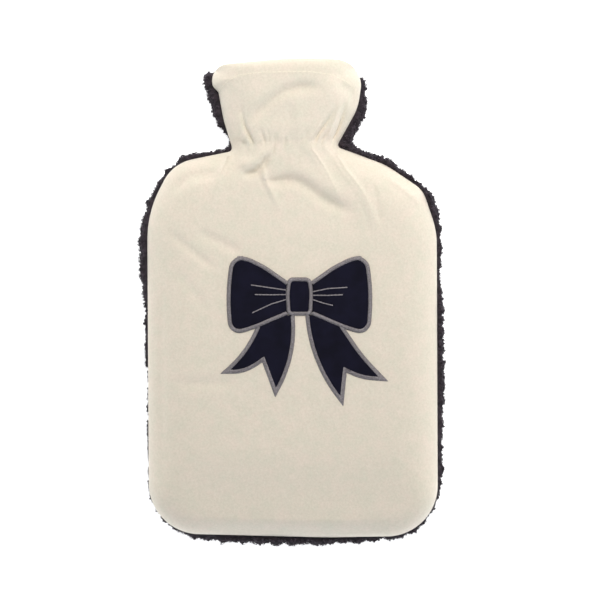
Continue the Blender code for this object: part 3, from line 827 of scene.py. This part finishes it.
def tufts(root, axis, fibres, stations, seed):
    """Crimped fibres in tufts, rooted at some points of the back and leaning along some directions."""
    rng = np.random.default_rng(seed)
    number = len(root)
    axis = axis + rng.normal(0, LEAN, (number, 3))
    axis /= np.linalg.norm(axis, axis=1, keepdims=True)
    across = np.cross(axis, rng.normal(0, 1, (number, 3)))
    across /= np.linalg.norm(across, axis=1, keepdims=True)
    third = np.cross(axis, across)
    shape = (number, fibres, 1)
    share = np.linspace(0, 1, stations)
    turn = rng.uniform(0, math.tau, shape) + share * rng.choice([-1, 1], shape) * rng.uniform(*TURNS, shape)
    radius = rng.uniform(*CURLS, shape) * (0.3 + share)
    length = TUFT_LENGTH * rng.uniform(*TUFT_SHARES, (number, 1, 1)) * rng.uniform(*FIBRE_SHARES, shape)
    lift = length * share - ROOT_DEPTH
    spread = rng.normal(0, SPREAD, (number, fibres, 2))[..., None] * (1 - DRAWN_IN * share)
    paths = root[:, None, None] + axis[:, None, None] * lift[..., None]
    paths = paths + across[:, None, None] * (spread[:, :, 0] + radius * np.cos(turn))[..., None]
    paths = paths + third[:, None, None] * (spread[:, :, 1] + radius * np.sin(turn))[..., None]
    paths = paths.reshape(-1, stations, 3)
    over = (paths[..., 2] - LEAST_HEIGHT) / LEVELLING
    paths[..., 2] = LEAST_HEIGHT + LEVELLING * np.log1p(np.exp(over))
    return tubes(paths, np.linspace(FIBRE_ROOT, FIBRE_TIP, stations))


# The tufts take the greyer fleece: painted light at their tips.
pile = []
left = points[roots, 0] < 0
for name, some, fibres, stations, seed in (
    ("rim_tufts_left", at_rim[roots] & left, 5, 5, 21),
    ("rim_tufts_right", at_rim[roots] & ~left, 5, 5, 22),
    ("back_tufts_left", ~at_rim[roots] & left, 4, 4, 23),
    ("back_tufts_right", ~at_rim[roots] & ~left, 4, 4, 24),
):
    shape, faces = tufts(points[roots[some]], normals[roots[some]], fibres, stations, seed)
    pile.append(piece(name, shape, faces, fleeces[1], recalculate=False))

for part in (back, *pile):
    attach(part, "root")
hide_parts("back_panel")

# --------------------------------------------------------------------------------------------------------
# Ribbon bow
# Five patches of navy cloth with a short nap, laid on the front and sewn round with a 3 mm border of grey
# rayon satin stitch. Three lines of stitching on each loop draw its creases towards the knot.

BOW_CENTRE = (5.4, 4.3)
LEFT_LOOP = (
    (-49.7, 29.2, 10.0), (-53.2, 1.0, 150.0), (-50.8, -28.6, 8.5), (-33.0, -23.6, 120.0), (-7.6, -12.6, 0.0),
    (-7.6, 10.4, 0.0), (-24.2, 22.1, 70.0), (-38.5, 29.2, 25.0),
)
# Name, corners, and of the border: its height, its first corner, and how many runs it covers. A piece that
# goes under another has no border there.
PATCHES = (
    ("bow_tail_left", (
        (-30.6, -20.2, 0.0), (-38.3, -38.6, 80.0), (-56.9, -55.5, 0.0), (-39.0, -55.4, 30.0),
        (-26.8, -47.2, 0.0), (-17.5, -72.3, 0.0), (-2.0, -44.0, 90.0), (-3.6, -11.8, 0.0),
        (-10.0, -11.8, 0.0),
    ), 0.5, 0, 7),
    ("bow_tail_right", (
        (4.2, -11.8, 0.0), (7.0, -47.0, 110.0), (31.5, -78.7, 0.0), (34.0, -54.6, 0.0), (44.0, -59.6, 45.0),
        (63.8, -61.0, 0.0), (45.5, -41.5, 120.0), (30.9, -20.0, 0.0), (10.0, -11.8, 0.0),
    ), 0.5, 0, 7),
    ("bow_loop_left", LEFT_LOOP, 0.95, 5, 7),
    ("bow_loop_right", tuple((-x, y, radius) for x, y, radius in reversed(LEFT_LOOP)), 0.95, 3, 7),
    ("bow_knot", (
        (-8.2, 13.8, 4.5), (-10.1, 3.0, 40.0), (-9.0, -13.6, 4.0), (9.0, -13.6, 4.0), (10.1, 3.0, 40.0),
        (8.2, 13.8, 4.5),
    ), 1.25, 0, 6),
)
PATCH_INSET = 1.5  # the cloth ends under the middle of its border
PATCH_STEP, PATCH_SPACING = 0.8, 1.0  # of its mesh, along its edge and inside
PATCH_UNDER, PATCH_EDGE = 0.05, 0.25  # heights over the front of its underside and of the edge of its face
PATCH_CROWN, PATCH_ROLL = 0.75, 3.0  # how much higher its middle stands, and over what width it rises
BORDER = 2.7  # width
BORDER_FOOT, BORDER_RISE = 0.1, 0.6  # its outer side lies on the front, and its inner side on the patch
THREAD_STEP, THREAD_RADIUS, THREAD_SHAKE = 0.36, 0.25, 0.05

# Brushed cotton: a short matt nap, nearly black, whose blue shows where the light grazes it.
navy, tree, shader = material("brushed cotton, navy", {
    "Roughness": 0.85, "Specular IOR Level": 0.12, "Sheen Weight": 0.04, "Sheen Roughness": 0.5,
    "Sheen Tint": linear("#9A9AB4"),
})
place = add(tree, "TexCoord").outputs["Object"]
nap = add(tree, "TexNoise", {"Vector": place, "Scale": 700, "Detail": 3, "Roughness": 0.7})
strokes = add(tree, "TexNoise", {"Vector": place, "Scale": 90, "Detail": 2})
tones = two_tones(tree, strokes, 0.35, 0.65, "#0D0C19", "#121121")
bump = add(tree, "Bump", {"Height": nap.outputs["Fac"], "Strength": 0.5, "Distance": 0.2 * MM})
tree.links.new(tones, shader.inputs["Base Color"])
tree.links.new(bump.outputs[0], shader.inputs["Normal"])

# Rayon thread: smooth, with a soft gloss along it. Its stitches are painted paler and darker at random, as
# painted highlight and painted shade for the light on their small arches.
rayon, tree, shader = material(
    "rayon embroidery thread, grey", {"Roughness": 0.42, "Specular IOR Level": 0.4}
)
place = add(tree, "TexCoord").outputs["Object"]
painted_stitch_shine = add(tree, "TexNoise", {"Vector": place, "Scale": 1100, "Detail": 3, "Roughness": 0.7})
tones = two_tones(tree, painted_stitch_shine, 0.36, 0.64, "#6A6466", "#948E8F")
tree.links.new(tones, shader.inputs["Base Color"])


def stretch(corners, cells, first, runs):
    """Points along part of an outline, from one corner on over that many runs, with the arcs at both ends."""
    arcs = arcs_of(corners, cells[0])
    points = []
    for place in range(first, first + runs):
        here, after = arcs[place % len(arcs)], arcs[(place + 1) % len(arcs)]
        steps = np.linspace(0, 1, cells[1][place % len(arcs)] + 1)[1:-1, None]
        points += [here, here[-1] + (after[0] - here[-1]) * steps]
    return np.concatenate([*points, arcs[(first + runs) % len(arcs)]])


def cut_cloth(ring, spacing):
    """Points and triangles that fill a closed outline, and how far each point is from it."""
    low, high = ring.min(0), ring.max(0)
    across, along = (np.arange(low[axis], high[axis], spacing) for axis in (0, 1))
    inside = np.stack(np.meshgrid(across, along), axis=-1).reshape(-1, 2)
    start, end = ring, np.roll(ring, -1, axis=0)
    level = (start[:, 1] > inside[:, None, 1]) != (end[:, 1] > inside[:, None, 1])
    rise = np.where(end[:, 1] == start[:, 1], 1, end[:, 1] - start[:, 1])
    meets = start[:, 0] + (inside[:, None, 1] - start[:, 1]) * (end[:, 0] - start[:, 0]) / rise
    inside = inside[(level & (inside[:, None, 0] < meets)).sum(1) % 2 == 1]
    loop = np.concatenate([ring, ring[:1]])
    inside = inside[nearest_on(loop, inside)[0] > 0.6 * spacing]
    flat = np.concatenate([ring, inside])
    vectors = [Vector(point) for point in flat]
    made, _, faces, *_ = delaunay_2d_cdt(vectors, [], [list(range(len(ring)))], 1, 1e-6)
    flat = np.array([tuple(point) for point in made])
    return flat, [list(face) for face in faces], nearest_on(loop, flat)[0]


bow = []
for name, corners, crown, first, runs in PATCHES:
    shape = [(np.array(row[:2]) + BOW_CENTRE, row[2]) for row in corners]
    cut = inset(shape, PATCH_INSET)
    cells = [[math.ceil(length / PATCH_STEP) for length in lengths] for lengths in lengths_of(cut)]
    ring = outline(cut, (*cells, None))
    flat, faces, from_edge = cut_cloth(ring, PATCH_SPACING)
    top = np.column_stack([flat, front_height(flat) + PATCH_EDGE + PATCH_CROWN * roll(from_edge, PATCH_ROLL)])
    points = np.concatenate([top, np.column_stack([flat, front_height(flat) + PATCH_UNDER])])
    faces += [[len(flat) + corner for corner in face] for face in faces] + band(0, len(flat), len(ring))
    patch = piece(name + "_patch", points, faces, navy)
    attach(patch, "root")
    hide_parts(name)

    cells = [[math.ceil(length / THREAD_STEP) for length in lengths] for lengths in lengths_of(shape)]
    outer = stretch(shape, cells, first, runs)
    inner = stretch(inset(shape, BORDER), cells, first, runs)
    rng = np.random.default_rng(len(name))
    share = np.linspace(0, 1, 7)
    flat = outer[:, None] + (inner - outer)[:, None] * share[:, None]
    flat = flat + rng.normal(0, THREAD_SHAKE, flat.shape[:1] + (1, 2))
    rise = front_height(flat.reshape(-1, 2)).reshape(flat.shape[:2])
    rise = rise + BORDER_FOOT + BORDER_RISE * share + crown * np.sin(math.pi * share) ** 0.7
    points, faces = tubes(np.dstack([flat, rise]), THREAD_RADIUS, sides=4)
    border = piece(name + "_border", points, faces, rayon, recalculate=False)
    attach(border, "root")
    bow += [patch, border]

# Three lines on the left loop and three on the right one.
CREASE_STITCHES = (
    ((-35.0, 8.4), (-20.2, 6.3), (-9.3, 4.7)),
    ((-32.3, 1.5), (-20.0, 1.3), (-9.3, 1.5)),
    ((-34.1, -11.7), (-20.3, -5.3), (-9.3, -2.0)),
    ((9.3, 3.5), (20.4, 5.8), (34.7, 6.7)),
    ((9.3, 1.0), (20.0, 0.9), (31.3, 1.4)),
    ((9.3, -2.0), (16.7, -4.5), (24.4, -6.4)),
)
CREASE_STEP = 0.5
CREASE_STITCH = 2.6  # length of one of its stitches, which swells between the points where it goes down
CREASE_LIFT, CREASE_RADIUS, CREASE_SWELL = 1.15, 0.34, 0.12
parts, faces = [], []
for line in CREASE_STITCHES:
    flat = along_line(line, CREASE_STEP) + BOW_CENTRE
    swell = CREASE_SWELL * np.abs(np.sin(np.arange(len(flat)) * CREASE_STEP * math.pi / CREASE_STITCH))
    rise = front_height(flat) + CREASE_LIFT + swell
    shape, walls = tubes([np.column_stack([flat, rise])], CREASE_RADIUS + swell, sides=6)
    faces += [[sum(map(len, parts)) + corner for corner in face] for face in walls]
    parts.append(shape)
creases = piece("bow_crease_stitches", np.concatenate(parts), faces, rayon, recalculate=False)
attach(creases, "root")
bow.append(creases)
